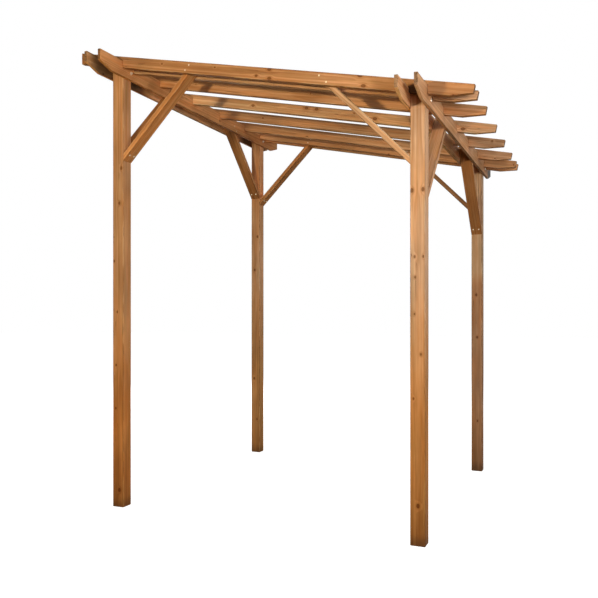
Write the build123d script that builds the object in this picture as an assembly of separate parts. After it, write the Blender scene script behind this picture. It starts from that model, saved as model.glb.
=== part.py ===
from build123d import *

import math
import os

# A free-standing garden pergola whose roof frame falls to one side.
# Four square posts stand at the corners of a rectangle. Two level boards run from
# front to back past the left posts, and two past the right posts, so that each pair
# clasps its posts. Eight sloping rafters run from the high left side to the low right
# side. Slots in their undersides drop over the boards, and the first and last two
# clasp the front and the back posts. Eight flat knee braces, as wide as a post, are
# held between those pairs.
# Units are millimetres. X runs from the high side to the low side, Y from the front
# to the back and Z up. The origin is on the ground, midway between the four posts.

# ------------------------------------------------------------- driving dimensions
POST_SIDE = 72.0             # square section of a post
POST_PITCH_X = 1710.0        # between post centres, across the slope
POST_PITCH_Y = 1715.0        # between post centres, front to back
POST_EDGE_RADIUS = 4.0       # rounding of a post's long edges
POST_TOP_GAP = 14.0          # post tops and brace tops below the rafters' top edges

ROOF_PITCH_DEG = 11.8        # fall of the rafters
ROOF_HEIGHT = 2350.0         # the rafters' top edges, midway between the posts

RAFTER_THICKNESS = 28.0
RAFTER_DEPTH = 62.0          # square to the slope
RAFTER_OVERHANG_HIGH = 195.0 # past the outer faces of the left posts
RAFTER_OVERHANG_LOW = 232.0  # past the outer faces of the right posts
RAFTER_END_FACE = 40.0       # height of the square low end
RAFTER_TAPER = 115.0         # length of the rising underside at the low end
RAFTER_STEPS = 5             # equal steps from the first rafter to the last

BEAM_THICKNESS = 17.0
BEAM_DEPTH = 90.0
BEAM_OVERHANG = 190.0        # past the outermost rafters' faces
BEAM_END_FACE = 57.0         # height of the square ends
BEAM_TAPER = 105.0           # length of the rising underside at each end
BEAM_DROP = 31.0             # tops of the boards below the rafters, over a post's centre
SLOT_PLAY = 0.5              # on each side of a board in a rafter's slot

BRACE_DEPTH = 28.0           # in the brace's own plane, square to its length
BRACE_TILT_DEG = 45.0
BRACE_REACH_BEAM = 415.0     # post face to where a brace's underside meets the boards
BRACE_REACH_HIGH = 425.0     # post face to where it meets the rafters, left posts
BRACE_REACH_LOW = 415.0      # the same, right posts

# ------------------------------------------------------------- places worked out
half_post = POST_SIDE / 2
post_x = POST_PITCH_X / 2
post_y = POST_PITCH_Y / 2
lean = math.radians(ROOF_PITCH_DEG)
fall = math.tan(lean)
rafter_height = RAFTER_DEPTH / math.cos(lean)
brace_rise = math.tan(math.radians(BRACE_TILT_DEG))
brace_height = BRACE_DEPTH / math.cos(math.radians(BRACE_TILT_DEG))

rafter_left = -post_x - half_post - RAFTER_OVERHANG_HIGH
rafter_right = post_x + half_post + RAFTER_OVERHANG_LOW
first_rafter = -post_y - half_post - RAFTER_THICKNESS
last_rafter = post_y + half_post
beam_end = last_rafter + RAFTER_THICKNESS + BEAM_OVERHANG


def roof_top(x):
    """Height of the rafters' top edges at a place across the slope."""
    return ROOF_HEIGHT - fall * x


def roof_underside(x):
    """Height of the rafters' full-depth undersides."""
    return roof_top(x) - rafter_height


def cut_line(x):
    """Height at which posts and braces stop, hidden between the rafters."""
    return roof_top(x) - POST_TOP_GAP


def beam_top(side):
    """Level top of the boards on the left (-1) or right (+1) posts."""
    return roof_top(side * post_x) - BEAM_DROP


def slab_across(outline, y_front, thickness):
    """A piece with an outline of (x, z) points, standing in the slope's direction."""
    plane = Plane(origin=(0, y_front, 0), x_dir=(1, 0, 0), z_dir=(0, -1, 0))
    return extrude(plane * make_face(Polyline(*outline, close=True)), -thickness)


def slab_along(outline, x_left, thickness):
    """A piece with an outline of (y, z) points, standing from front to back."""
    plane = Plane(origin=(x_left, 0, 0), x_dir=(0, 1, 0), z_dir=(1, 0, 0))
    return extrude(plane * make_face(Polyline(*outline, close=True)), thickness)


# ------------------------------------------------------------- posts
def make_post(side, end):
    """Square post with rounded long edges, its top cut to the slope of the roof."""
    centre_x = side * post_x
    left, right = centre_x - half_post, centre_x + half_post
    outline = [(left, 0), (right, 0), (right, cut_line(right)), (left, cut_line(left))]
    post = slab_across(outline, end * post_y - half_post, POST_SIDE)
    return fillet(post.edges().filter_by(Axis.Z), POST_EDGE_RADIUS)


# ------------------------------------------------------------- boards along the sides
def beam_left_face(side, place):
    """Left face of a board that touches its posts' outer (1) or inner (-1) faces."""
    toward = side * place
    post_face = side * post_x + toward * half_post
    return post_face if toward > 0 else post_face - BEAM_THICKNESS


def make_beam(side, place):
    """Level board with a rising underside at both ends."""
    top = beam_top(side)
    bottom = top - BEAM_DEPTH
    toe = top - BEAM_END_FACE
    heel = beam_end - BEAM_TAPER
    outline = [
        (-beam_end, top), (beam_end, top), (beam_end, toe),
        (heel, bottom), (-heel, bottom), (-beam_end, toe),
    ]
    return slab_along(outline, beam_left_face(side, place), BEAM_THICKNESS)


# ------------------------------------------------------------- rafters
def rafter_faces():
    """Front faces of the eight rafters, by name."""
    step = (last_rafter - first_rafter) / RAFTER_STEPS
    faces = {
        "rafter_front_outer": first_rafter,
        "rafter_front_inner": -post_y + half_post,
        "rafter_back_inner": post_y - half_post - RAFTER_THICKNESS,
        "rafter_back_outer": last_rafter,
    }
    for number in range(1, RAFTER_STEPS):
        faces[f"rafter_middle_{number}"] = first_rafter + number * step
    return faces


def rafter_outline():
    """Plumb cut at the high end, square cut and rising underside at the low end."""
    nose_x = rafter_right - RAFTER_END_FACE * math.sin(lean)
    nose_z = roof_top(rafter_right) - RAFTER_END_FACE * math.cos(lean)
    heel_x = nose_x - RAFTER_TAPER
    return [
        (rafter_left, roof_top(rafter_left)),
        (rafter_right, roof_top(rafter_right)),
        (nose_x, nose_z),
        (heel_x, roof_underside(heel_x)),
        (rafter_left, roof_underside(rafter_left)),
    ]


def make_rafter(y_front):
    """Sloping board with four slots that drop over the level boards."""
    rafter = slab_across(rafter_outline(), y_front, RAFTER_THICKNESS)
    for side in (-1, 1):
        for place in (-1, 1):
            left = beam_left_face(side, place) - SLOT_PLAY
            width = BEAM_THICKNESS + 2 * SLOT_PLAY
            corner = (Align.MIN, Align.MIN, Align.MAX)
            slot = Box(width, RAFTER_THICKNESS, rafter_height, align=corner)
            rafter -= Pos(left, y_front, beam_top(side)) * slot
    return rafter


# ------------------------------------------------------------- knee braces
def make_rafter_brace(side, end):
    """Brace in the slope's direction, from a post up between its pair of rafters."""
    face = side * (post_x - half_post)
    reach = BRACE_REACH_HIGH if side < 0 else BRACE_REACH_LOW
    meet = face - side * reach
    foot = roof_underside(meet) - reach * brace_rise
    shoulder = foot + brace_height
    closing = brace_rise - side * fall
    lower_x = face - side * (cut_line(face) - foot) / closing
    upper_x = face - side * (cut_line(face) - shoulder) / closing
    outline = [
        (face, foot), (lower_x, cut_line(lower_x)),
        (upper_x, cut_line(upper_x)), (face, shoulder),
    ]
    return slab_across(outline, end * post_y - half_post, POST_SIDE)


def make_beam_brace(side, end):
    """Brace from front to back, from a post up between its pair of boards."""
    face = end * (post_y - half_post)
    foot = beam_top(side) - BEAM_DEPTH - BRACE_REACH_BEAM * brace_rise
    shoulder = foot + brace_height
    head = beam_top(side) - POST_TOP_GAP
    lower_y = face - end * (head - foot) / brace_rise
    upper_y = face - end * (head - shoulder) / brace_rise
    outline = [(face, foot), (lower_y, head), (upper_y, head), (face, shoulder)]
    return slab_along(outline, side * post_x - half_post, POST_SIDE)


# ------------------------------------------------------------- assembly
SIDES = {"left": -1, "right": 1}
ENDS = {"front": -1, "back": 1}
PLACES = {"inner": -1, "outer": 1}


def all_parts():
    """Every piece of the pergola, by name."""
    parts = {}
    for side_name, side in SIDES.items():
        for end_name, end in ENDS.items():
            corner = f"{end_name}_{side_name}"
            parts[f"post_{corner}"] = make_post(side, end)
            parts[f"rafter_brace_{corner}"] = make_rafter_brace(side, end)
            parts[f"beam_brace_{corner}"] = make_beam_brace(side, end)
        for place_name, place in PLACES.items():
            parts[f"beam_{side_name}_{place_name}"] = make_beam(side, place)
    for name, y_front in rafter_faces().items():
        parts[name] = make_rafter(y_front)
    return parts


os.makedirs("parts", exist_ok=True)
for name, piece in all_parts().items():
    export_step(piece, f"parts/{name}.step")
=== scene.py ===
import math

import bpy
from mathutils import Matrix, Vector


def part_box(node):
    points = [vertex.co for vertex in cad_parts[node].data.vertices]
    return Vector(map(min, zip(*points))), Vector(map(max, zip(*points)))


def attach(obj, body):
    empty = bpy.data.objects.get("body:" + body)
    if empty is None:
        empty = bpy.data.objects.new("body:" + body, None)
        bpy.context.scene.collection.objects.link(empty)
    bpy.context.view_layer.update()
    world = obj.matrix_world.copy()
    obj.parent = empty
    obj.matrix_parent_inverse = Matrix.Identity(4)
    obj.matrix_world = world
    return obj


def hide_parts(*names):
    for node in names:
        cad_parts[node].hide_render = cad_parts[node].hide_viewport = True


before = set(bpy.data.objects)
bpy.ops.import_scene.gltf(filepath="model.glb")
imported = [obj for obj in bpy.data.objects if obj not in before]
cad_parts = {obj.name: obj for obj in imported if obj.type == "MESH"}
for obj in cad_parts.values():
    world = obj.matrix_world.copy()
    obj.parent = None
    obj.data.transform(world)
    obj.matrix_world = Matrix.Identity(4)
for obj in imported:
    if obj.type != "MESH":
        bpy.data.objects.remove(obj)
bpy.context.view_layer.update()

# A free-standing garden pergola of stained softwood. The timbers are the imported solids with
# their arrises eased, and the screws and coach bolts that hold them together are added.
# Sizes are metres. X runs from the high left side to the low right side, Y from the front
# to the back and Z up from the ground. The origin is midway between the posts.

# ------------------------------------------------------------- the frame's own measures
LEFT_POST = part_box("post_front_left")
RIGHT_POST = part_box("post_front_right")
POST_SIDE = LEFT_POST[1].x - LEFT_POST[0].x
POST_OUT = (RIGHT_POST[0].x + RIGHT_POST[1].x) / 2
POST_BACK = -(LEFT_POST[0].y + LEFT_POST[1].y) / 2
ROOF_FALL = (LEFT_POST[1].z - RIGHT_POST[1].z) / (RIGHT_POST[0].x - LEFT_POST[0].x)
LEAN = math.atan(ROOF_FALL)
RAFTER_DEPTH = 0.062
BRACE_DEPTH = 0.028
BRACE_MIDDLE = BRACE_DEPTH * math.sqrt(0.5)  # a brace's centre line over its toe, at the post
CORNERS = ("front_left", "front_right", "back_left", "back_right")
HAIR = 0.00002               # points nearer than this are in the same place


def side_of(name):
    """-1 on the left, which is the high side, and 1 on the right."""
    return -1 if "left" in name else 1


def end_of(name):
    """-1 at the front and 1 at the back."""
    return -1 if "front" in name else 1


# ------------------------------------------------------------- shader arithmetic
class Value:
    """Something that varies over a surface. The usual operators add Math nodes."""

    def __init__(self, sheet, socket):
        self.sheet = sheet
        self.socket = socket

    def __add__(self, other):
        return self.sheet.math("ADD", self, other)

    def __radd__(self, other):
        return self.sheet.math("ADD", other, self)

    def __sub__(self, other):
        return self.sheet.math("SUBTRACT", self, other)

    def __rsub__(self, other):
        return self.sheet.math("SUBTRACT", other, self)

    def __mul__(self, other):
        return self.sheet.math("MULTIPLY", self, other)

    def __rmul__(self, other):
        return self.sheet.math("MULTIPLY", other, self)

    def __truediv__(self, other):
        return self.sheet.math("DIVIDE", self, other)

    def __rtruediv__(self, other):
        return self.sheet.math("DIVIDE", other, self)

    def __abs__(self):
        return self.sheet.math("ABSOLUTE", self)


class Sheet:
    """The node tree of a material or of the world, written on by name."""

    def __init__(self, owner):
        owner.use_nodes = True
        self.tree = owner.node_tree
        self.tree.nodes.clear()

    def put(self, kind, settings=None, inputs=None, output=0):
        """One node: its settings first, then the values or links of its sockets."""
        node = self.tree.nodes.new(kind)
        for name, setting in (settings or {}).items():
            setattr(node, name, setting)
        for name, value in (inputs or {}).items():
            if isinstance(value, Value):
                self.tree.links.new(value.socket, node.inputs[name])
            else:
                node.inputs[name].default_value = value
        return Value(self, node.outputs[output]) if node.outputs else None

    def also(self, value, output):
        """Another output of the node that a value came from."""
        return Value(self, value.socket.node.outputs[output])

    def math(self, operation, first, second=0.0):
        """One Math node, by the name of its operation."""
        return self.put("ShaderNodeMath", {"operation": operation}, {0: first, 1: second})

    def step(self, value, start, end):
        """0 before start, 1 past end and a smooth rise between. It may run downward."""
        return self.put(
            "ShaderNodeMapRange",
            {"interpolation_type": "SMOOTHSTEP"},
            {"Value": value, "From Min": start, "From Max": end},
        )

    def split(self, vector):
        """The three parts of a vector."""
        x = self.put("ShaderNodeSeparateXYZ", inputs={0: vector})
        return x, self.also(x, 1), self.also(x, 2)

    def join(self, x, y, z):
        """A vector of three parts."""
        return self.put("ShaderNodeCombineXYZ", inputs={0: x, 1: y, 2: z})

    def stretch(self, vector, scale, shift=(0.0, 0.0, 0.0)):
        """A vector scaled each way, then shifted."""
        inputs = {"Vector": vector, "Scale": scale, "Location": shift}
        return self.put("ShaderNodeMapping", inputs=inputs)

    def cloud(self, vector, detail=2.0, roughness=0.5):
        """Soft noise about 0.5 with features as large as the vector's unit."""
        inputs = {"Vector": vector, "Scale": 1.0, "Detail": detail, "Roughness": roughness}
        return self.put("ShaderNodeTexNoise", inputs=inputs)

    def drawn_out(self, local, along, across, shift, detail=2.0, roughness=0.5):
        """Noise with so many features a metre along the grain and so many across it."""
        return self.cloud(self.stretch(local, (along, across, across), shift), detail, roughness)

    def tint(self, factor, first, second, how="MIX"):
        """Two colours mixed, by a number or by a mask."""
        return self.put(
            "ShaderNodeMix",
            {"data_type": "RGBA", "blend_type": how},
            {0: factor, 6: first, 7: second},
            output=2,
        )

    def direct_rays(self):
        """1 for a surface that is seen, mirrored or looked at through glass, else 0."""
        path = self.put("ShaderNodeLightPath", output="Is Camera Ray")
        mirrored = self.also(path, "Is Glossy Ray")
        through_glass = self.also(path, "Is Transmission Ray")
        return self.math("MAXIMUM", path, self.math("MAXIMUM", mirrored, through_glass))


# ------------------------------------------------------------- the stain
# Shades on the stain's card. Each channel runs from 0 to 255.
STRAW_WOOD = (224, 160, 104)
HONEY_WOOD = (198, 132, 80)
WARM_WOOD = (214, 134, 72)
COOL_WOOD = (196, 146, 88)
LATE_WOOD = (162, 98, 52)
DARK_FIBRE = (158, 98, 54)
KNOT_HALO = (168, 96, 46)
KNOT_WOOD = (142, 84, 44)
KNOT_HEART = (88, 50, 26)
KNOT_BARK = (78, 42, 22)
END_GRAIN = (130, 94, 62)
END_GRAIN_LATE = (86, 60, 38)
END_CHECK = (48, 30, 18)
FACE_CHECK = (80, 46, 24)
GREYED_PALE = (104, 95, 80)
GREYED_DARK = (58, 54, 45)
# painted shade for the underside of the grey-tailed board
OLIVE_UNDER_SHADE = (76, 60, 26)
# stain held in the arrises, and painted shade along the edges
ARRIS_STAIN_AND_SHADE = (100, 62, 32)
RUBBED_STAIN = (232, 184, 130)
# painted shade, where boards clasp a post
CLASP_SHADE = (26, 16, 9)
DARK_FOOT = (88, 58, 34)

# Tints over the stain; the one for undersides is painted shade. The wood's linear colour is
# multiplied by them.
SUN_FADED = (1.07, 1.14, 1.26, 1.0)
PALER_STRETCH = (1.12, 1.20, 1.34, 1.0)
# painted shade for faces that look down
UNDERSIDE_SHADE = (0.88, 0.80, 0.56, 1.0)
DARKER_BELOW = (0.72, 0.66, 0.62, 1.0)

PALEST = 0.95                # no channel of a stained board is brighter


def linear(channel):
    """A channel of the card made linear."""
    share = channel / 255
    return share / 12.92 if share < 0.04045 else ((share + 0.055) / 1.055) ** 2.4


class Stain:
    """The stain as one board took it: lighter or darker, and paler or warmer."""

    def __init__(self, tone, pale):
        red = tone * (1 - 0.02 * pale)
        green = tone * (1.02 + 0.16 * pale)
        blue = tone * (1.07 + 0.50 * pale)
        self.share = (red, green, blue)

    def __call__(self, shade):
        """The linear colour that a shade of the card has on this board."""
        channels = zip(shade, self.share)
        return tuple(min(linear(channel) * share, PALEST) for channel, share in channels) + (1.0,)


# ------------------------------------------------------------- boards and their grain
class Board:
    """Where a timber lies: a point on its centre line, its grain, and its half sizes."""

    def __init__(self, centre, grain, across, half_across, half_other, half_along=1.0):
        self.centre = Vector(centre)
        self.grain = Vector(grain).normalized()
        self.across = Vector(across).normalized()
        self.other = self.grain.cross(self.across)
        self.half_across = half_across
        self.half_other = half_other
        self.half_along = half_along

    def rotation(self):
        """Turns the grain to X, the way across to Y and the other way across to Z."""
        return Matrix((self.grain, self.across, self.other))


def board_of(node):
    """The board that a CAD node is cut from."""
    low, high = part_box(node)
    middle = (low + high) / 2
    half_side = POST_SIDE / 2
    if node.startswith("post"):
        return Board((middle.x, middle.y, 0), (0, 0, 1), (1, 0, 0), half_side, half_side)
    if node.startswith("beam_brace"):
        end = end_of(node)
        face = low.y if end < 0 else high.y
        centre = (middle.x, face, low.z + BRACE_MIDDLE)
        return Board(centre, (0, -end, 1), (0, end, 1), BRACE_DEPTH / 2, half_side)
    if node.startswith("rafter_brace"):
        side = side_of(node)
        face = low.x if side < 0 else high.x
        centre = (face, middle.y, low.z + BRACE_MIDDLE)
        return Board(centre, (-side, 0, 1), (side, 0, 1), BRACE_DEPTH / 2, half_side)
    if node.startswith("beam"):
        half_width, half_thickness = (high.z - low.z) / 2, (high.x - low.x) / 2
        half_length = (high.y - low.y) / 2
        return Board(middle, (0, 1, 0), (0, 0, 1), half_width, half_thickness, half_length)
    top = high.z - ROOF_FALL * (middle.x - low.x)
    centre = (middle.x, middle.y, top - RAFTER_DEPTH / 2 / math.cos(LEAN))
    grain = (math.cos(LEAN), 0, -math.sin(LEAN))
    across = (math.sin(LEAN), 0, math.cos(LEAN))
    return Board(centre, grain, across, RAFTER_DEPTH / 2, (high.y - low.y) / 2)


# ------------------------------------------------------------- the timbers
TIMBERS = {
    # node: tone of the stain, how pale, seed, heart of the tree across the board, ring width
    # The left outer and right inner boards lie in shade from the front camera; their lighter
    # tones paint in the light they lack there.
    "post_front_left": (1.00, 0.6, 1.3, (0.012, -0.110), 0.0036),
    "post_front_right": (0.88, 1.2, 2.6, (0.004, 0.120), 0.0040),
    "post_back_left": (1.10, 0.9, 3.7, (-0.020, 0.095), 0.0034),
    "post_back_right": (0.92, 2.0, 4.9, (0.030, -0.092), 0.0033),
    "beam_left_inner": (1.08, 0.0, 5.2, (0.012, -0.072), 0.0034),
    "beam_left_outer": (1.36, 0.7, 6.8, (-0.020, 0.065), 0.0031),
    "beam_right_inner": (1.46, 0.8, 7.4, (0.018, 0.070), 0.0033),
    "beam_right_outer": (1.00, 0.8, 8.1, (-0.010, -0.068), 0.0035),
    "rafter_front_outer": (0.82, 0.2, 9.5, (0.004, 0.085), 0.0038),
    "rafter_front_inner": (0.96, 0.9, 10.2, (0.015, -0.080), 0.0034),
    "rafter_middle_1": (0.98, 0.3, 11.7, (-0.012, 0.076), 0.0031),
    "rafter_middle_2": (1.42, 0.9, 12.4, (0.010, 0.090), 0.0036),
    "rafter_middle_3": (1.02, 0.8, 13.9, (0.020, -0.070), 0.0033),
    "rafter_middle_4": (1.16, 0.7, 14.3, (-0.015, 0.080), 0.0034),
    "rafter_back_inner": (1.11, 0.4, 15.8, (0.008, -0.085), 0.0031),
    "rafter_back_outer": (1.32, 0.6, 16.6, (0.012, 0.078), 0.0034),
    "rafter_brace_front_left": (1.10, -0.1, 17.1, (0.030, 0.070), 0.0034),
    "rafter_brace_front_right": (0.95, 1.5, 18.5, (-0.028, 0.074), 0.0038),
    "rafter_brace_back_left": (1.20, 0.0, 19.2, (0.026, -0.060), 0.0033),
    "rafter_brace_back_right": (0.60, 0.4, 20.4, (-0.024, 0.068), 0.0034),
    "beam_brace_front_left": (0.74, -0.8, 21.8, (0.042, 0.010), 0.0034),
    "beam_brace_front_right": (0.88, 1.0, 22.7, (-0.040, -0.014), 0.0035),
    "beam_brace_back_left": (0.93, 0.1, 23.3, (0.044, 0.008), 0.0033),
    "beam_brace_back_right": (0.84, 0.1, 24.9, (-0.040, 0.012), 0.0034),
}

# Knots that stand out: metres along from the board's own centre, or up from the ground on a
# post, metres across it, and their size.
KNOTS = {
    "rafter_front_outer": (
        (0.080, 0.024, 0.0060), (0.089, -0.021, 0.0062), (0.012, -0.013, 0.0048),
        (0.570, 0.029, 0.0075), (0.597, -0.019, 0.0065), (-0.575, 0.008, 0.0028),
        (-0.240, 0.012, 0.0026),
    ),
    "rafter_middle_2": (
        (-0.019, 0.016, 0.0065), (0.048, 0.015, 0.0068), (-0.386, -0.002, 0.0060),
        (0.426, -0.005, 0.0070), (0.944, -0.012, 0.0065),
    ),
    "post_front_right": (
        (1.663, -0.027, 0.0060), (1.665, 0.025, 0.0056), (0.189, 0.002, 0.0058),
        (1.353, -0.014, 0.0036), (1.353, 0.027, 0.0038), (1.257, -0.012, 0.0034),
        (1.085, -0.015, 0.0032), (0.897, 0.016, 0.0036), (0.689, -0.019, 0.0030),
    ),
    "post_back_left": (
        (1.696, 0.016, 0.0050), (1.434, -0.008, 0.0058), (0.580, -0.011, 0.0046),
        (0.260, 0.013, 0.0042),
    ),
    "post_back_right": (
        (1.219, -0.003, 0.0050), (0.926, 0.003, 0.0052), (0.348, 0.005, 0.0042),
    ),
    "post_front_left": (
        (1.905, 0.022, 0.0055), (1.709, 0.009, 0.0052), (1.384, -0.027, 0.0040),
        (1.098, -0.005, 0.0036), (0.798, -0.012, 0.0034), (0.555, -0.015, 0.0034),
        (0.096, 0.010, 0.0062),
    ),
}

# How the stain turns warmer and deeper toward the foot of each post: the tint at the foot, the
# height up to which it is full, the height at which it has gone, and the middle of a paler
# stretch.
FEET = {
    "post_front_left": ((1.17, 0.91, 0.57), 0.45, 1.30, None),
    "post_front_right": ((1.14, 0.86, 0.48), 0.45, 1.30, 1.34),
    "post_back_left": ((1.10, 1.02, 0.76), 0.45, 1.30, 1.42),
    "post_back_right": ((0.88, 0.72, 0.63), 1.28, 1.38, None),
}

GREY_TAIL = "beam_right_outer"                               # its far end turns dark grey
CLASPING = ("beam_left", "rafter_front", "rafter_back")      # shade is painted on them where they clasp a post


# ------------------------------------------------------------- stained softwood
# Lengths are metres. What has a START and a FULL grows from the one to the other. What has
# a NEAR and a FAR, or a LOW and a HIGH, is whole at the first and gone at the second.
RING_WANDER = 0.030          # how far the growth rings stray about the heart
RING_RIPPLE = 0.8            # how far they ripple, in ring widths
RING_BOW = 0.0045            # how far they bow out round a knot
BRANCH_STEP = 0.23           # along the grain, from one chance of a knot to the next
BRANCH_TURN = 0.42           # chances of a knot in each radian about the heart
BRANCH_START, BRANCH_FULL = 0.60, 0.62           # the chance from which a knot is there
BRANCH_SIZE, BRANCH_SIZE_SPREAD = 0.0018, 0.0036
BRANCH_SWELL = 0.011         # reach of the bowed rings round such a knot
NO_BRANCH = 9.0              # knot sizes, past all that a knot changes
KNOT_SWELL = 2.4             # reach of the bowed rings round a placed knot, in knot sizes
KNOT_WIDTH = 0.68            # width of a placed knot, as a share of its length
KNOT_SKIN = 0.006            # depth of a placed knot in a post, under its front and back
CHECK_RAYS, CHECK_RINGS = 16.0, 9.0              # checks in each radian, bends in each metre
ARRIS_START, ARRIS_FULL = 0.0060, 0.0010         # in from a board's edge
UNDER_START, UNDER_FULL = -0.50, -0.95           # how far a face looks down
GREY_START, GREY_FULL = 0.170, 0.100             # in from the grey tail's tip
GREY_RAGGED = 0.05
OLIVE_SHADE_START, OLIVE_SHADE_FULL = -0.20, 0.80              # along the grey-tailed board
SHADE_START, SHADE_FULL = -0.0030, -0.0005         # how far inside the width of a post
SHADE_NEAR, SHADE_FAR = 0.15, 0.30                 # from the post's middle, front to back
SHADE_LOW, SHADE_HIGH = -0.010, 0.016              # up a rafter's face, from its middle
SHADE_LOW_SLOPE, SHADE_HIGH_SLOPE = 0.20, 0.60     # how far a face looks up
PALER_NEAR, PALER_FAR = 0.13, 0.32             # up and down from the middle of the stretch
DARKER_LOW, DARKER_HIGH = 0.02, 0.42             # over the ground
BAND_LOW, BAND_HIGH = 0.004, 0.075
LOWER_TONE_RAGGED = 0.35           # as a share of the height over which a foot's warmer tone goes
PALER_RAGGED = 0.20
BAND_RAGGED = 0.08


def knots_of(node, board, sheet, along, across, other, turned, seed):
    """How far the nearest knot is, in knot sizes, and how much the rings swell round it."""
    branch = sheet.join(along / BRANCH_STEP + seed * 3.1, turned * BRANCH_TURN + seed, 0.0)
    nearest = sheet.put(
        "ShaderNodeTexVoronoi", {"voronoi_dimensions": "2D"}, {"Vector": branch, "Scale": 1.0}
    )
    chance, girth, _ = sheet.split(sheet.also(nearest, "Color"))
    grown = sheet.step(chance, BRANCH_START, BRANCH_FULL)
    far = nearest * BRANCH_STEP
    edge = far / (BRANCH_SIZE + girth * BRANCH_SIZE_SPREAD) + (1.0 - grown) * NO_BRANCH
    swell = grown * sheet.math("EXPONENT", far * far * (-1 / BRANCH_SWELL**2))
    for knot_along, knot_across, size in KNOTS.get(node, ()):
        gap_x = (along - knot_along) * KNOT_WIDTH
        gap_y = across - knot_across
        square = gap_x * gap_x + gap_y * gap_y
        if node.startswith("post"):
            gap_z = sheet.math("MAXIMUM", board.half_other - KNOT_SKIN - abs(other), 0.0)
            square = square + gap_z * gap_z
        far = sheet.math("SQRT", square)
        edge = sheet.math("MINIMUM", edge, far / size)
        swell = swell + sheet.math("EXPONENT", far * far * (-1 / (KNOT_SWELL * size) ** 2))
    return edge, swell


def greyed_tail(sheet, wood, stain, board, place, along, facing_up, seed):
    """The far end of one board turns dark grey, and its underside gets painted shade in a dark
    olive.
    """
    grey_noise = sheet.cloud(sheet.stretch(place, (60.0, 60.0, 60.0), (seed, 0.0, 0.0)), 3.0)
    ragged = along + (grey_noise - 0.5) * GREY_RAGGED
    grey_end = sheet.step(ragged, board.half_along - GREY_START, board.half_along - GREY_FULL)
    grey = sheet.tint(grey_noise, stain(GREYED_PALE), stain(GREYED_DARK))
    wood = sheet.tint(grey_end * 0.92, wood, grey)
    # painted shade: the underside of this board is darker and olive
    olive_shade = sheet.step(facing_up, UNDER_START, UNDER_FULL)
    olive_shade = olive_shade * sheet.step(along, OLIVE_SHADE_START, OLIVE_SHADE_FULL)
    return sheet.tint(olive_shade * 0.30, wood, stain(OLIVE_UNDER_SHADE))


def clasp_shade(sheet, wood, stain, place, across, facing_up, low_only):
    """Painted shade between a pair of boards beside a post, and on the rafters that pass a post.
    """
    right, back, _ = sheet.split(place)
    inside = POST_SIDE / 2 - abs(abs(right) - POST_OUT)
    away = abs(abs(back) - POST_BACK)
    painted_shade = sheet.step(inside, SHADE_START, SHADE_FULL)
    painted_shade = painted_shade * (1.0 - sheet.step(away, SHADE_NEAR, SHADE_FAR))
    painted_shade = painted_shade * (1.0 - sheet.step(facing_up, SHADE_LOW_SLOPE, SHADE_HIGH_SLOPE))
    if low_only:
        painted_shade = painted_shade * (1.0 - sheet.step(across, SHADE_LOW, SHADE_HIGH))
    return sheet.tint(painted_shade * 0.80, wood, stain(CLASP_SHADE))


def post_tones_by_height(sheet, wood, stain, place, foot, seed):
    """How a post's colour changes with height: warmer and deeper below, paler over a stretch, and
    darker toward the foot.
    """
    foot_tint, full_below, gone_above, paler_middle = foot
    up = sheet.split(place)[2]
    ragged = sheet.cloud(sheet.stretch(place, (22.0, 22.0, 9.0), (seed, 0.0, 0.0)), 3.0)
    edge = (ragged - 0.5) * (gone_above - full_below) * LOWER_TONE_RAGGED
    lower_tone = 1.0 - sheet.step(up + edge, full_below, gone_above)
    wood = sheet.tint(lower_tone, wood, foot_tint + (1.0,), "MULTIPLY")
    if paler_middle:
        from_middle = abs(up + (ragged - 0.5) * PALER_RAGGED - paler_middle)
        paler = 1.0 - sheet.step(from_middle, PALER_NEAR, PALER_FAR)
        wood = sheet.tint(paler, wood, PALER_STRETCH, "MULTIPLY")
    darkened = 1.0 - sheet.step(up, DARKER_LOW, DARKER_HIGH)
    wood = sheet.tint(darkened * 0.6, wood, DARKER_BELOW, "MULTIPLY")
    lowest_band = 1.0 - sheet.step(up + (ragged - 0.5) * BAND_RAGGED, BAND_LOW, BAND_HIGH)
    return sheet.tint(lowest_band * 0.55, wood, stain(DARK_FOOT))


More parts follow.
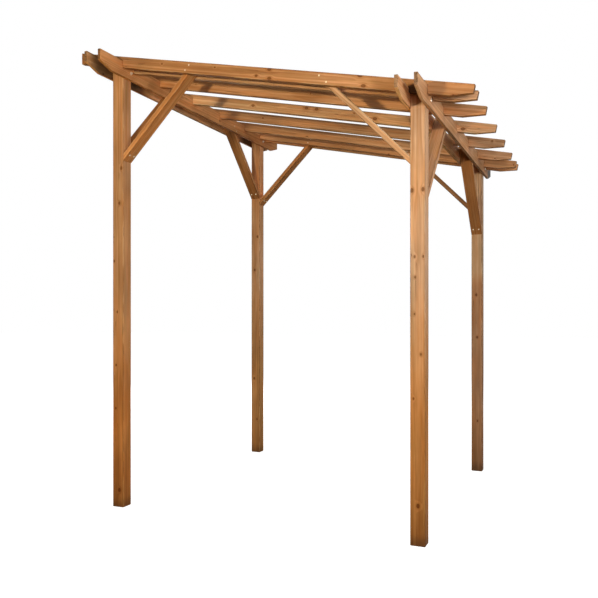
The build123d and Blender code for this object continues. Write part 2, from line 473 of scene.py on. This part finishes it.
def stained_pine(node):
    """Softwood under a honey-brown stain: rings, fibres, knots, end grain, worn arrises, and
    painted shade along the arrises, on undersides and where boards clasp a post.
    """
    tone, pale, seed, heart, ring = TIMBERS[node]
    stain = Stain(tone, pale)
    board = board_of(node)
    foot = FEET.get(node)
    material = bpy.data.materials.new("stained_" + node)
    sheet = Sheet(material)
    turn = board.rotation()
    place = sheet.put("ShaderNodeTexCoord", output="Object")
    facing = sheet.put("ShaderNodeTexCoord", output="Normal")
    facing_up = sheet.split(facing)[2]
    shift = -(turn @ board.centre)
    local = sheet.put(
        "ShaderNodeMapping",
        inputs={"Vector": place, "Rotation": turn.to_euler(), "Location": shift},
    )
    along, across, other = sheet.split(local)

    # the growth rings wander a little about the heart of the tree
    wander = sheet.drawn_out(local, 0.55, 4.0, (seed, seed * 1.7, seed * 0.6), 1.5)
    wander_x, wander_y, _ = sheet.split(sheet.also(wander, "Color"))
    from_heart_x = across - heart[0] + (wander_x - 0.5) * RING_WANDER
    from_heart_y = other - heart[1] + (wander_y - 0.5) * RING_WANDER
    reach = sheet.math("SQRT", from_heart_x * from_heart_x + from_heart_y * from_heart_y)
    turned = sheet.math("ARCTAN2", from_heart_y, from_heart_x)

    # knots run out from the heart, and those that stand out are placed one by one; late wood
    # is the dark end of each year's growth
    knot_edge, swell = knots_of(node, board, sheet, along, across, other, turned, seed)
    ripple = sheet.drawn_out(local, 5.0, 60.0, (seed, 0.0, seed))
    count = (reach + swell * RING_BOW) / ring + (ripple - 0.5) * RING_RIPPLE
    year = sheet.math("FRACT", count)
    late = sheet.step(year, 0.30, 0.85) * (1.0 - sheet.step(year, 0.88, 1.0))

    # fibres, streaks and the uneven take-up of the stain
    fibre = sheet.drawn_out(local, 10.0, 420.0, (seed, seed, 0.0), 3.0, 0.65)
    streak = sheet.drawn_out(local, 1.0, 95.0, (0.0, seed, seed), 2.5, 0.6)
    blotch = sheet.drawn_out(local, 2.4, 10.0, (seed, seed * 2, seed), 3.0, 0.55)
    warmth = sheet.drawn_out(local, 4.5, 40.0, (seed * 2, seed, 3.0))
    faded = sheet.drawn_out(local, 1.5, 4.0, (seed * 3, seed, seed * 2))
    wood = sheet.tint(sheet.step(streak, 0.30, 0.70), stain(STRAW_WOOD), stain(HONEY_WOOD))
    wood = sheet.tint(sheet.step(warmth, 0.46, 0.74) * 0.50, wood, stain(WARM_WOOD))
    wood = sheet.tint(sheet.step(warmth, 0.50, 0.24) * 0.40, wood, stain(COOL_WOOD))
    wood = sheet.tint(late * 0.36, wood, stain(LATE_WOOD))
    wood = sheet.tint(sheet.step(fibre, 0.42, 0.80) * 0.30, wood, stain(DARK_FIBRE))
    taken_up = 0.80 + sheet.step(blotch, 0.30, 0.72) * 0.34
    wood = sheet.tint(1.0, wood, sheet.join(taken_up, taken_up, taken_up), "MULTIPLY")
    wood = sheet.tint(sheet.step(faded, 0.50, 0.68), wood, SUN_FADED, "MULTIPLY")

    # each knot has a warm halo, a brown core with a darker heart and a ring of bark
    halo = (1.0 - sheet.step(knot_edge, 1.0, 3.0)) * 0.40
    core = 1.0 - sheet.step(knot_edge, 0.70, 0.98)
    centre = 1.0 - sheet.step(knot_edge, 0.0, 0.65)
    rim = sheet.step(knot_edge, 0.55, 0.90) * (1.0 - sheet.step(knot_edge, 1.0, 1.5))
    knot_wood = sheet.tint(centre, stain(KNOT_WOOD), stain(KNOT_HEART))
    wood = sheet.tint(halo, wood, stain(KNOT_HALO))
    wood = sheet.tint(core * 0.80, wood, knot_wood)
    wood = sheet.tint(rim * 0.70, wood, stain(KNOT_BARK))

    # end grain drinks more stain and opens in fine radial checks
    square = sheet.put(
        "ShaderNodeVectorMath",
        {"operation": "DOT_PRODUCT"},
        {0: facing, 1: tuple(board.grain)},
        output="Value",
    )
    end = sheet.step(abs(square), 0.55, 0.80)
    rays = sheet.join(turned * CHECK_RAYS + seed, reach * CHECK_RINGS, seed)
    check_wave = sheet.cloud(rays)
    check = (1.0 - sheet.step(abs(check_wave - 0.5), 0.004, 0.022)) * end
    end_wood = sheet.tint(late, stain(END_GRAIN), stain(END_GRAIN_LATE))
    wood = sheet.tint(end * 0.80, wood, end_wood)
    wood = sheet.tint(check * 0.75, wood, stain(END_CHECK))
    if node == GREY_TAIL:
        wood = greyed_tail(sheet, wood, stain, board, place, along, facing_up, seed)

    # drying checks on the faces: long hairlines that follow the grain
    split_wave = sheet.drawn_out(local, 1.6, 90.0, (seed * 5, seed, seed), 1.0)
    split_where = sheet.drawn_out(local, 2.6, 8.0, (seed, seed * 4, 1.0), 0.0)
    hairline = 1.0 - sheet.step(abs(split_wave - 0.5), 0.0015, 0.010)
    hairline = hairline * sheet.step(split_where, 0.60, 0.66) * (1.0 - end)
    wood = sheet.tint(hairline * 0.65, wood, stain(FACE_CHECK))

    # arrises hold a darker line of stain that is also painted shade along the board edges, rubbed
    # through here and there
    rubbed = sheet.drawn_out(local, 5.0, 30.0, (seed, 2.0, seed))
    near_across, near_other = (
        sheet.step(abs(distance), half_size - ARRIS_START, half_size - ARRIS_FULL)
        for distance, half_size in ((across, board.half_across), (other, board.half_other))
    )
    arris = near_across * near_other * (1.0 - end)
    arris_dark_share = 0.38 if foot else 0.62
    arris_dark = arris * (0.5 + sheet.step(rubbed, 0.62, 0.40) * 0.5) * arris_dark_share
    wood = sheet.tint(arris_dark, wood, stain(ARRIS_STAIN_AND_SHADE))
    wood = sheet.tint(arris * sheet.step(rubbed, 0.48, 0.60) * 0.45, wood, stain(RUBBED_STAIN))

    # painted shade: undersides are made darker and yellower
    under_shade_share = 0.3 if node == GREY_TAIL else 0.8
    under = sheet.step(facing_up, UNDER_START, UNDER_FULL)
    wood = sheet.tint(under * under_shade_share, wood, UNDERSIDE_SHADE, "MULTIPLY")
    # painted shade between the boards that clasp a post, and on the rafters that pass it
    if node.startswith(CLASPING):
        low_only = node.startswith("rafter")
        wood = clasp_shade(sheet, wood, stain, place, across, facing_up, low_only)
    if foot:
        wood = post_tones_by_height(sheet, wood, stain, place, foot, seed)

    rough = 0.60 + fibre * 0.16 - late * 0.07 + end * 0.18 + rim * 0.08
    relief = late * 0.16 + fibre * 0.14 + ripple * 0.10
    relief = relief - rim * 0.5 - hairline * 1.1 - check * 0.9
    bump = sheet.put(
        "ShaderNodeBump", inputs={"Strength": 0.9, "Distance": 0.001, "Height": relief}
    )
    shader = sheet.put(
        "ShaderNodeBsdfPrincipled",
        inputs={
            "Base Color": wood,
            "Roughness": rough,
            "Normal": bump,
            "Specular IOR Level": 0.03,
        },
    )
    sheet.put("ShaderNodeOutputMaterial", inputs={"Surface": shader})
    return material


# ------------------------------------------------------------- plated steel
def plated_steel(name, plating, patina, wear):
    """Thin zinc plating, clouded by patina and rubbed bright in specks."""
    material = bpy.data.materials.new(name)
    sheet = Sheet(material)
    place = sheet.put("ShaderNodeTexCoord", output="Object")
    cloud = sheet.cloud(sheet.stretch(place, (240.0, 240.0, 240.0)), 3.0, 0.6)
    fine = sheet.cloud(sheet.stretch(place, (1500.0, 1500.0, 1500.0)), 2.0, 0.6)
    plate = sheet.tint(sheet.step(cloud, 0.42, 0.66) * 0.8, plating, patina)
    plate = sheet.tint(sheet.step(fine, 0.60, 0.74) * 0.5, plate, wear)
    bump = sheet.put(
        "ShaderNodeBump", inputs={"Strength": 0.4, "Distance": 0.0002, "Height": fine}
    )
    shader = sheet.put(
        "ShaderNodeBsdfPrincipled",
        inputs={
            "Base Color": plate,
            "Metallic": 0.9 - sheet.step(cloud, 0.5, 0.8) * 0.4,
            "Roughness": 0.26 + cloud * 0.22,
            "Normal": bump,
        },
    )
    sheet.put("ShaderNodeOutputMaterial", inputs={"Surface": shader})
    return material


# ------------------------------------------------------------- modelling helpers
def deselect():
    """Object mode, with nothing selected."""
    if bpy.context.object and bpy.context.object.mode != "OBJECT":
        bpy.ops.object.mode_set(mode="OBJECT")
    bpy.ops.object.select_all(action="DESELECT")


def pick(piece):
    """Only this piece is selected, and it is the active one."""
    deselect()
    piece.select_set(True)
    bpy.context.view_layer.objects.active = piece


def seat(piece, name, material, node=None, slot=None):
    """Names a finished piece, gives it its finish and lets it ride with the pergola."""
    piece.name = name
    piece.data.name = name
    piece.data.materials.clear()
    piece.data.materials.append(material)
    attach(piece, "root")
    if node:
        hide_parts(node)


def eased_timber(node, ease):
    """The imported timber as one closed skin, with its arrises planed off."""
    timber = bpy.data.objects.new(node + "_timber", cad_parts[node].data.copy())
    bpy.context.collection.objects.link(timber)
    pick(timber)
    bpy.ops.object.mode_set(mode="EDIT")
    bpy.ops.mesh.select_all(action="SELECT")
    bpy.ops.mesh.remove_doubles(threshold=HAIR)
    bpy.ops.mesh.dissolve_limited(angle_limit=math.radians(0.5))
    bpy.ops.mesh.normals_make_consistent(inside=False)
    bpy.ops.object.mode_set(mode="OBJECT")
    bpy.ops.object.shade_smooth_by_angle(angle=math.radians(40))
    bevel = timber.modifiers.new("eased arrises", "BEVEL")
    bevel.width = ease
    bevel.segments = 2
    bevel.limit_method = "ANGLE"
    bevel.angle_limit = math.radians(30)
    bevel.harden_normals = True
    bpy.ops.object.modifier_apply(modifier=bevel.name)
    return timber


def level_at(*heights):
    """A test that faces or edges pass when they lie level at one of the heights."""
    return lambda middle: any(abs(middle.z - height) < HAIR for height in heights)


def work_on(piece, kind, test):
    """Edit mode, with only those faces or edges selected whose middle passes the test."""
    pick(piece)
    bpy.ops.object.mode_set(mode="EDIT")
    bpy.ops.mesh.select_mode(type=kind)
    bpy.ops.mesh.select_all(action="DESELECT")
    bpy.ops.object.mode_set(mode="OBJECT")
    mesh = piece.data
    if kind == "FACE":
        for face in mesh.polygons:
            face.select = test(face.center)
    else:
        for edge in mesh.edges:
            one, two = (mesh.vertices[index].co for index in edge.vertices)
            edge.select = test((one + two) / 2)
    bpy.ops.object.mode_set(mode="EDIT")


def turned_blank(sides, radius, low, high):
    """A short bar about the Z axis, from one height to another, ready to be shaped."""
    deselect()
    bpy.ops.mesh.primitive_cylinder_add(
        vertices=sides, radius=radius, depth=high - low, location=(0, 0, (low + high) / 2)
    )
    piece = bpy.context.object
    piece.data.transform(piece.matrix_world)
    piece.matrix_world = Matrix.Identity(4)
    return piece


def narrowed(share):
    """What is selected is brought to a share of its width."""
    bpy.ops.transform.resize(value=(share, share, 1.0))


def draw_out(rise, share):
    """The selected cap is drawn out by a height and brought to a share of its width."""
    bpy.ops.mesh.extrude_region_move(TRANSFORM_OT_translate={"value": (0, 0, rise)})
    narrowed(share)


def rounded_off(piece, angle=30):
    """Smooth shading wherever the faces meet at less than the angle, in degrees."""
    bpy.ops.object.mode_set(mode="OBJECT")
    bpy.ops.object.shade_smooth_by_angle(angle=math.radians(angle))
    return piece


def joined(pieces):
    """The pieces as one object."""
    deselect()
    for piece in pieces:
        piece.select_set(True)
    bpy.context.view_layer.objects.active = pieces[0]
    bpy.ops.object.join()
    return bpy.context.object


def copy_at(pattern, point, out, twist):
    """A copy with its own mesh, standing on a point of a face and looking out of it."""
    copy = bpy.data.objects.new(pattern.name + "_copy", pattern.data.copy())
    bpy.context.collection.objects.link(copy)
    turn = Vector(out).to_track_quat("Z", "Y").to_matrix().to_4x4()
    twisted = Matrix.Rotation(twist, 4, "Z")
    copy.data.transform(Matrix.Translation(Vector(point)) @ turn @ twisted)
    return copy


# ------------------------------------------------------------- making the timbers
POST_EASE = 0.0025           # width of the planed-off arrises
BOARD_EASE = 0.0018


def slot_of(node):
    """The record's timber slot for a node."""
    if "brace" in node:
        return "brace_timber"
    return node.split("_")[0] + "_timber"


for node in TIMBERS:
    timber = eased_timber(node, POST_EASE if node.startswith("post") else BOARD_EASE)
    seat(timber, node + "_timber", stained_pine(node), node, slot_of(node))


# ------------------------------------------------------------- screws and coach bolts
GOLD_ZINC = plated_steel(
    "gold_zinc", (0.93, 0.82, 0.56, 1), (0.74, 0.60, 0.38, 1), (0.97, 0.93, 0.82, 1)
)
PALE_ZINC = plated_steel(
    "pale_zinc", (0.78, 0.64, 0.48, 1), (0.50, 0.40, 0.29, 1), (0.88, 0.82, 0.72, 1)
)


def make_screw_head():
    """Countersunk head, 9 mm across, with a cross recess; its rim just clears the wood."""
    radius, sunk, proud, easing = 0.0045, -0.0025, 0.0003, 0.0004
    blade_long, blade_thick, blade_deep = 0.0050, 0.0010, 0.0030
    tip_share = 0.5
    head = turned_blank(24, radius, sunk, proud)
    work_on(head, "FACE", level_at(sunk))
    narrowed(tip_share)
    work_on(head, "EDGE", level_at(proud))
    bpy.ops.mesh.bevel(offset=easing, segments=2)
    bpy.ops.object.mode_set(mode="OBJECT")
    for wide, deep in ((blade_long, blade_thick), (blade_thick, blade_long)):
        deselect()
        bpy.ops.mesh.primitive_cube_add(size=1.0, location=(0, 0, 0))
        blade = bpy.context.object
        blade.data.transform(Matrix.Diagonal((wide, deep, blade_deep, 1.0)))
        work_on(blade, "FACE", level_at(-blade_deep / 2))
        narrowed(tip_share)
        bpy.ops.object.mode_set(mode="OBJECT")
        pick(head)
        cut = head.modifiers.new("recess", "BOOLEAN")
        cut.operation = "DIFFERENCE"
        cut.solver = "EXACT"
        cut.object = blade
        bpy.ops.object.modifier_apply(modifier=cut.name)
        bpy.data.objects.remove(blade)
    pick(head)
    return rounded_off(head)


def make_dome_head():
    """Mushroom head of a coach bolt, 16 mm across."""
    radius, rim_top = 0.0080, 0.0012
    rises_and_shares = ((0.0016, 0.90), (0.0011, 0.80), (0.0006, 0.66), (0.0002, 0.40))
    dome = turned_blank(32, radius, 0.0, rim_top)
    work_on(dome, "FACE", level_at(rim_top))
    for rise, share in rises_and_shares:
        draw_out(rise, share)
    return rounded_off(dome, 50)


def make_nut_end():
    """Washer, hexagon nut and the threaded end of the bolt that stands out of it."""
    washer_top, nut_top, thread_start = 0.0016, 0.0066, 0.0072
    washer_radius, nut_radius, bolt_radius = 0.0090, 0.0058, 0.0028
    washer_easing, nut_easing = 0.0004, 0.0005
    turns, half_turn, crest, tip, tip_share = 5, 0.0004, 1.10, 0.0005, 0.80
    washer = turned_blank(32, washer_radius, 0.0, washer_top)
    work_on(washer, "EDGE", lambda middle: True)
    bpy.ops.mesh.bevel(offset=washer_easing, segments=2)
    rounded_off(washer)
    nut = turned_blank(6, nut_radius, washer_top, nut_top)
    work_on(nut, "EDGE", level_at(washer_top, nut_top))
    bpy.ops.mesh.bevel(offset=nut_easing, segments=2)
    rounded_off(nut)
    end = turned_blank(20, bolt_radius, washer_top, thread_start)
    work_on(end, "FACE", level_at(thread_start))
    for _ in range(turns):
        draw_out(half_turn, crest)
        draw_out(half_turn, 1 / crest)
    draw_out(tip, tip_share)
    rounded_off(end)
    return joined([washer, nut, end])


def roof_top(x):
    """Height of the rafters' top edges at a place across the slope."""
    low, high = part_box("rafter_front_outer")
    return high.z - ROOF_FALL * (x - low.x)


def centre_of(low, high):
    """The middle of a box."""
    return (low + high) / 2


def fix(pattern, name, finish, seats):
    """Copies of a fixing on their seats, joined as one piece of the object."""
    copies = []
    for number, (point, out) in enumerate(seats):
        twist = 0.7 * number + 0.4 * len(name)   # as if each had been driven by hand
        copies.append(copy_at(pattern, point, out, twist))
    seat(joined(copies), name, finish)


screw_head = make_screw_head()
dome_head = make_dome_head()
nut_end = make_nut_end()

POST_SCREWS = ((-0.019, 0.017), (0.017, 0.046))  # off the post's middle, below the rafter's top
RAFTER_SCREW_DROPS = (0.018, 0.047)              # on a brace's middle, below the rafter's top
BEAM_SCREW_DROPS = (0.045, 0.074)                # the same, below the board's top
FOOT_SCREW = 0.032                               # out from the post, and up from a brace's toe
FOOT_SPREAD = 0.0185                             # each side of the brace's middle
BOLT_INWARD = 0.012                              # off the post's middle, toward its brace
BOLT_DROP = 0.006                                # below the board's middle

for corner in CORNERS:
    side, end = side_of(corner), end_of(corner)
    end_name, side_name = corner.split("_")
    post = centre_of(*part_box("post_" + corner))
    outer_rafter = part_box(f"rafter_{end_name}_outer")[0 if end < 0 else 1].y
    inner_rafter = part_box(f"rafter_{end_name}_inner")[1 if end < 0 else 0].y
    outer_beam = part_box(f"beam_{side_name}_outer")[0 if side < 0 else 1].x
    inner_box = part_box(f"beam_{side_name}_inner")
    inner_beam = inner_box[1 if side < 0 else 0].x
    rafter_sides = ((outer_rafter, (0, end, 0)), (inner_rafter, (0, -end, 0)))

    # two through the inner rafter into the post
    seats = []
    for step, drop in POST_SCREWS:
        x = post.x + step
        seats.append(((x, inner_rafter, roof_top(x) - drop), (0, -end, 0)))
    fix(screw_head, "screws_post_" + corner, GOLD_ZINC, seats)

    # the rafter brace: two through each rafter, and two through its foot
    brace_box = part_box("rafter_brace_" + corner)
    face_x = brace_box[0 if side < 0 else 1].x
    middle_z = brace_box[0].z + BRACE_MIDDLE
    seats = []
    for face, out in rafter_sides:
        for drop in RAFTER_SCREW_DROPS:
            reach = (roof_top(face_x) - drop - middle_z) / (1 - side * ROOF_FALL)
            seats.append(((face_x - side * reach, face, middle_z + reach), out))
    foot_x, foot_z = face_x - side * FOOT_SCREW, brace_box[0].z + FOOT_SCREW
    for spread in (-FOOT_SPREAD, FOOT_SPREAD):
        seats.append(((foot_x, post.y + spread, foot_z), (-side, 0, -1)))
    fix(screw_head, "screws_rafter_brace_" + corner, GOLD_ZINC, seats)

    # the beam brace: two through the inner board, and two through its foot
    brace_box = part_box("beam_brace_" + corner)
    face_y = brace_box[0 if end < 0 else 1].y
    middle_z = brace_box[0].z + BRACE_MIDDLE
    seats = []
    for drop in BEAM_SCREW_DROPS:
        reach = inner_box[1].z - drop - middle_z
        seats.append(((inner_beam, face_y - end * reach, middle_z + reach), (-side, 0, 0)))
    foot_y, foot_z = face_y - end * FOOT_SCREW, brace_box[0].z + FOOT_SCREW
    for spread in (-FOOT_SPREAD, FOOT_SPREAD):
        seats.append(((post.x + spread, foot_y, foot_z), (0, -end, -1)))
    fix(screw_head, "screws_beam_brace_" + corner, GOLD_ZINC, seats)

    # a coach bolt through both boards and the post
    bolt_y, bolt_z = post.y - end * BOLT_INWARD, centre_of(*inner_box).z - BOLT_DROP
    head_seat = ((outer_beam, bolt_y, bolt_z), (side, 0, 0))
    nut_seat = ((inner_beam, bolt_y, bolt_z), (-side, 0, 0))
    fix(dome_head, "bolt_head_" + corner, PALE_ZINC, [head_seat])
    fix(nut_end, "bolt_nut_" + corner, PALE_ZINC, [nut_seat])

for pattern in (screw_head, dome_head, nut_end):
    bpy.data.objects.remove(pattern)


# ------------------------------------------------------------- floor, light and camera
FLOOR_SIZE = 60.0
FLOOR_BOUNCE = (0.072, 0.060, 0.033, 1.0)        # its colour in the light that it throws back
FLOOR_WHITE = (0.7, 0.7, 0.7, 1.0)               # its colour where it is seen, under a glow
GLOW_UNDER = 0.86                                # the glow beneath the object; it is 1 far off
GLOW_START, GLOW_FULL = 1.8, 4.5                 # from the middle
FILL_COLOUR, FILL_STRENGTH = (1.0, 0.92, 0.78, 1.0), 0.035
WHITE = (1.0, 1.0, 1.0, 1.0)

LAMPS = {
    # name: place, target, size, power, colour
    "lamp_centre": ((-0.07, -3.20, 1.85), (0.0, -0.9, 2.15), 0.14, 40.0, (1.0, 0.87, 0.58)),
    "lamp_near": ((1.85, -2.30, 1.78), (0.8, -0.9, 1.75), 0.30, 18.0, (1.0, 1.0, 1.0)),
    "lamp_low": ((2.5, -3.0, 1.1), (0.8, -0.9, 1.6), 0.6, 9.0, (1.0, 1.0, 1.0)),
    "lamp_right": ((3.5, -0.50, 2.35), (0.6, 0.0, 1.9), 0.9, 25.0, (0.98, 1.0, 1.0)),
    "lamp_high": ((4.0, -6.5, 4.5), (0.0, 0.0, 1.6), 1.5, 62.0, (1.0, 1.0, 1.0)),
    "lamp_behind": ((3.5, 5.0, 3.0), (0.0, 0.0, 1.4), 3.0, 56.0, (1.0, 1.0, 1.0)),
    "lamp_far_corner": ((-4.4, 4.6, 3.4), (0.0, 0.0, 1.4), 2.4, 300.0, (1.0, 1.0, 1.0)),
    "lamp_above": ((0.0, 0.0, 6.5), (0.0, 0.0, 1.4), 2.4, 50.0, (1.0, 1.0, 1.0)),
}


def studio_floor():
    """A wide pale floor that runs into the background and keeps a soft shadow."""
    deselect()
    bpy.ops.mesh.primitive_plane_add(size=FLOOR_SIZE, location=(0, 0, 0))
    floor = bpy.context.object
    floor.name = "studio_floor"
    floor.data.transform(floor.matrix_world)
    floor.matrix_world = Matrix.Identity(4)
    material = bpy.data.materials.new("pale_floor")
    sheet = Sheet(material)
    place = sheet.put("ShaderNodeTexCoord", output="Object")
    from_middle = sheet.put(
        "ShaderNodeVectorMath", {"operation": "LENGTH"}, {0: place}, output="Value"
    )
    light = GLOW_UNDER + sheet.step(from_middle, GLOW_START, GLOW_FULL) * (1 - GLOW_UNDER)
    colour = sheet.join(light, light, light)
    glow = sheet.put("ShaderNodeEmission", inputs={"Color": colour, "Strength": 1.0})
    white = sheet.put("ShaderNodeBsdfDiffuse", inputs={"Color": FLOOR_WHITE})
    bright = sheet.put("ShaderNodeAddShader", inputs={0: glow, 1: white})
    dull = sheet.put("ShaderNodeBsdfDiffuse", inputs={"Color": FLOOR_BOUNCE})
    surface = sheet.put(
        "ShaderNodeMixShader", inputs={0: sheet.direct_rays(), 1: dull, 2: bright}
    )
    sheet.put("ShaderNodeOutputMaterial", inputs={"Surface": surface})
    floor.data.materials.append(material)


def studio_world():
    """White where it is seen or mirrored, and a faint warm fill for the object."""
    world = bpy.data.worlds.new("studio_world")
    bpy.context.scene.world = world
    sheet = Sheet(world)
    fill = sheet.put(
        "ShaderNodeBackground", inputs={"Color": FILL_COLOUR, "Strength": FILL_STRENGTH}
    )
    white = sheet.put("ShaderNodeBackground", inputs={"Color": WHITE, "Strength": 1.0})
    surface = sheet.put(
        "ShaderNodeMixShader", inputs={0: sheet.direct_rays(), 1: fill, 2: white}
    )
    sheet.put("ShaderNodeOutputWorld", inputs={"Surface": surface})


def soft_lamp(name, place, target, size, power, colour):
    """A square soft box that looks at a point and doesn't show to the camera."""
    lamp = bpy.data.lights.new(name, "AREA")
    lamp.shape = "SQUARE"
    lamp.size = size
    lamp.energy = power
    lamp.color = colour
    box = bpy.data.objects.new(name, lamp)
    bpy.context.collection.objects.link(box)
    box.location = place
    toward = Vector(target) - Vector(place)
    box.rotation_euler = toward.to_track_quat("-Z", "Y").to_euler()
    box.visible_camera = False


def front_camera():
    """Stands before the low corner at chest height and looks level toward the high side."""
    lens = bpy.data.cameras.new("front_camera")
    lens.sensor_width = 36.0
    lens.lens = 42.14
    lens.shift_y = 0.0263
    camera = bpy.data.objects.new("front_camera", lens)
    bpy.context.collection.objects.link(camera)
    camera.location = (1.6339, -4.1124, 1.0815)
    camera.rotation_euler = (math.pi / 2, 0.0, 0.4052)
    bpy.context.scene.camera = camera


studio_floor()
studio_world()
for name, settings in LAMPS.items():
    soft_lamp(name, *settings)
front_camera()
bpy.context.scene.view_settings.view_transform = "Standard"
